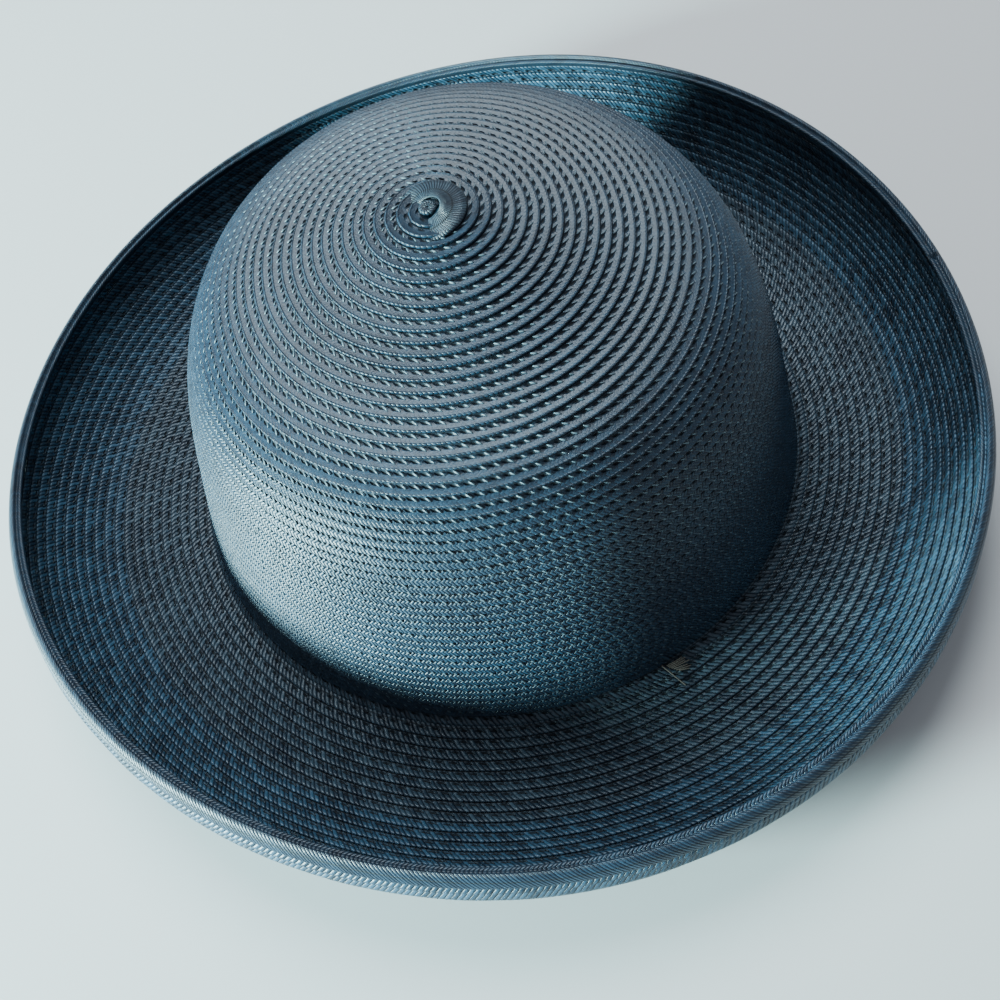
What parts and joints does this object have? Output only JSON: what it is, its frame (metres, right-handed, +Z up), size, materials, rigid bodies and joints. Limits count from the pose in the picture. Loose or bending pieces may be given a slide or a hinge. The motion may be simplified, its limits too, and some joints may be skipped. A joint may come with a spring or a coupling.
{
  "type": "straw hat",
  "caption": "Dark navy sewn-braid straw hat with a domed crown and a brim that rolls up all round.",
  "frame": {"origin": "under the middle of the hat's footprint, on the surface that it rests on", "axes": "+Z up through the crown, +X to the right and +Y to the back as the picture sees the hat"},
  "size_m": [0.2906, 0.291, 0.1133],
  "materials": {
    "straw": "dyed straw braid, satin",
    "straw_edge": "dyed straw braid, satin",
    "thread": "matt"
  },
  "bodies": {
    "root": {"crown_tip": "straw", "crown_side": "straw", "brim_floor": "straw", "brim_roll": "straw", "edge_braid": "straw_edge", "braid_start": "straw", "thread_tack": "thread"}
  },
  "joints": []
}
